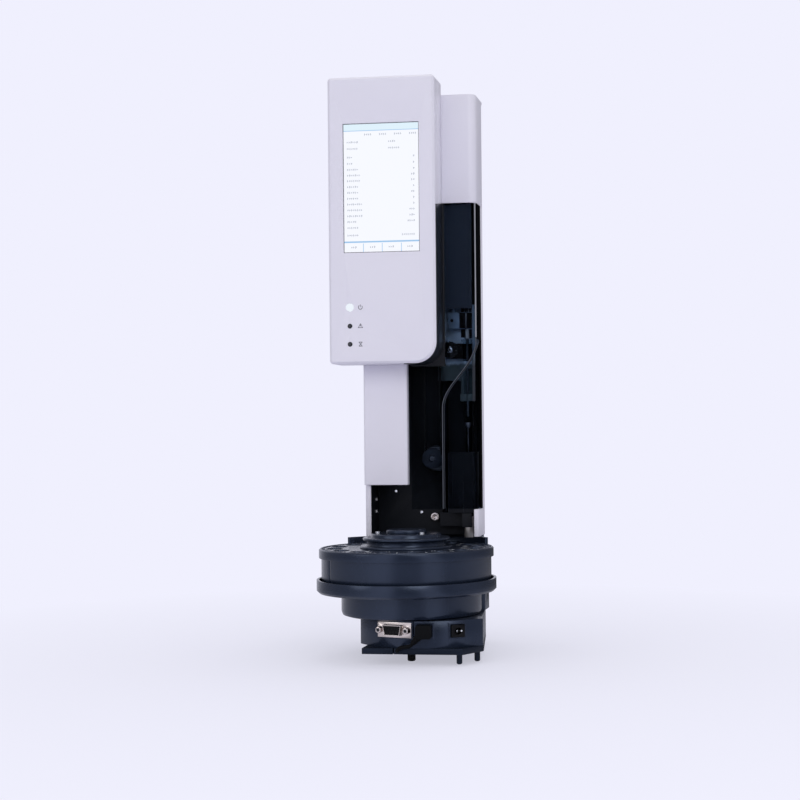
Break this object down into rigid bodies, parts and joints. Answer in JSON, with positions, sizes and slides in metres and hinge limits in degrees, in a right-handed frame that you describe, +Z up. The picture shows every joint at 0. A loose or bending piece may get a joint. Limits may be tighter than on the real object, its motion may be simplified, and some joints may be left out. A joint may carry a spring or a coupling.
{
  "type": "liquid autosampler",
  "caption": "Gas chromatograph liquid autosampler: round vial turret in a tray, slim tower with a syringe lift behind a smoked door, and a control head with a touch screen.",
  "frame": {"origin": "centre of the whole part's footprint, on the surface under the rubber feet", "axes": "+Z up, -Y towards the front where the screen faces, +X to the right seen from the front"},
  "size_m": [0.1506, 0.1792, 0.4852],
  "materials": {
    "white_shell": "fine satin, off-white with a lilac cast",
    "dark_moulding": "satin dark blue-grey moulding",
    "black_sheet": "black powder coat",
    "black_plastic": "black moulded plastic",
    "black_rubber": "dull black rubber",
    "nickel_plate": "bright nickel plate",
    "rod_chrome": "ground and chromed",
    "steel": "plain steel",
    "motor_black": "black enamelled motor can",
    "alloy": "machined and clear anodised",
    "blue_alloy": "blue-grey anodised",
    "smoked_acrylic": "smoked clear plastic, polished",
    "clear_glass": "clear glass",
    "screen_face": "lit display behind glass",
    "board": "green circuit board",
    "lamp_white": "lit white lens",
    "lamp_dark": "dark unlit lens"
  },
  "bodies": {
    "frame": {"rear_cover": "white_shell", "left_side_cover": "white_shell", "left_front_cover": "white_shell", "upper_front_cover": "white_shell", "right_lower_cover": "white_shell", "head_front_bezel": "white_shell", "head_back_shell": "white_shell", "base_housing": "dark_moulding", "tray_housing": "dark_moulding", "base_plate": "black_sheet", "tower_bracket": "black_sheet", "chassis_back_plate": "black_sheet", "chassis_left_plate": "black_sheet", "door_fascia": "black_sheet", "inner_mask_panel": "black_sheet", "needle_shroud": "black_sheet", "lower_rod_block": "black_sheet", "data_socket_insert": "black_plastic", "power_socket_body": "black_plastic", "lead_plug": "black_plastic", "rubber_foot_front": "black_rubber", "rubber_foot_left": "black_rubber", "rubber_foot_rear_left": "black_rubber", "rubber_foot_rear_right": "black_rubber", "jumper_lead": "black_rubber", "timing_belt": "black_rubber", "data_socket_shell": "nickel_plate", "lock_screw": "nickel_plate", "left_guide_rod": "rod_chrome", "right_guide_rod": "rod_chrome", "needle_guide": "rod_chrome", "turret_bearing": "steel", "lower_hinge_pin": "steel", "upper_hinge_pin": "steel", "head_bracket": "steel", "turret_motor": "motor_black", "lift_motor": "motor_black", "upper_rod_block": "alloy", "touch_screen": "screen_face", "control_board": "board", "power_lens": "lamp_white", "warning_lens": "lamp_dark", "waiting_lens": "lamp_dark"},
    "turret": {"turret_carousel": "dark_moulding", "turret_spindle": "steel", "turret_hub": "dark_moulding", "turret_cap": "dark_moulding"},
    "door": {"smoked_door": "smoked_acrylic"},
    "carriage": {"syringe_carriage": "blue_alloy", "belt_clamp": "alloy", "clamp_bar": "black_plastic", "syringe_barrel": "clear_glass", "needle": "steel", "plunger_motor": "motor_black"},
    "clamp_screw": {"clamp_knob": "black_plastic"},
    "plunger_slide": {"plunger": "steel", "plunger_driver": "alloy"},
    "lower_pulley": {"drive_pulley": "alloy"},
    "upper_pulley": {"idler_pulley": "alloy"}
  },
  "joints": [
    {"name": "turret_spin", "type": "hinge", "parent": "frame", "child": "turret", "pos_m": [0, -0.01435, 0.075], "axis": [0, 0, 1], "continuous": true},
    {"name": "door_swing", "type": "hinge", "parent": "frame", "child": "door", "pos_m": [0.0546, 0.03685, 0.252], "axis": [0, 0, 1], "range_deg": [0, 110]},
    {"name": "carriage_lift", "type": "slide", "parent": "frame", "child": "carriage", "axis": [0, 0, -1], "range_m": [0, 0.078]},
    {"name": "plunger_lift", "type": "slide", "parent": "carriage", "child": "plunger_slide", "axis": [0, 0, 1], "range_m": [0, 0.05]},
    {"name": "clamp_screw_turn", "type": "hinge", "parent": "carriage", "child": "clamp_screw", "pos_m": [0.0325, 0.01965, 0.258], "axis": [0, -1, 0], "range_deg": [0, 360]},
    {"name": "drive_pulley_spin", "type": "hinge", "parent": "frame", "child": "lower_pulley", "pos_m": [0.016, 0.02415, 0.165], "axis": [0, 1, 0], "range_deg": [0, 720]},
    {"name": "idler_pulley_spin", "type": "hinge", "parent": "frame", "child": "upper_pulley", "pos_m": [0.016, 0.02415, 0.43], "axis": [0, 1, 0], "range_deg": [0, 720]}
  ],
  "couplings": [
    {"joint": "drive_pulley_spin", "follows": "carriage_lift", "rad_per_m": 156.99},
    {"joint": "idler_pulley_spin", "follows": "carriage_lift", "rad_per_m": 156.99}
  ]
}
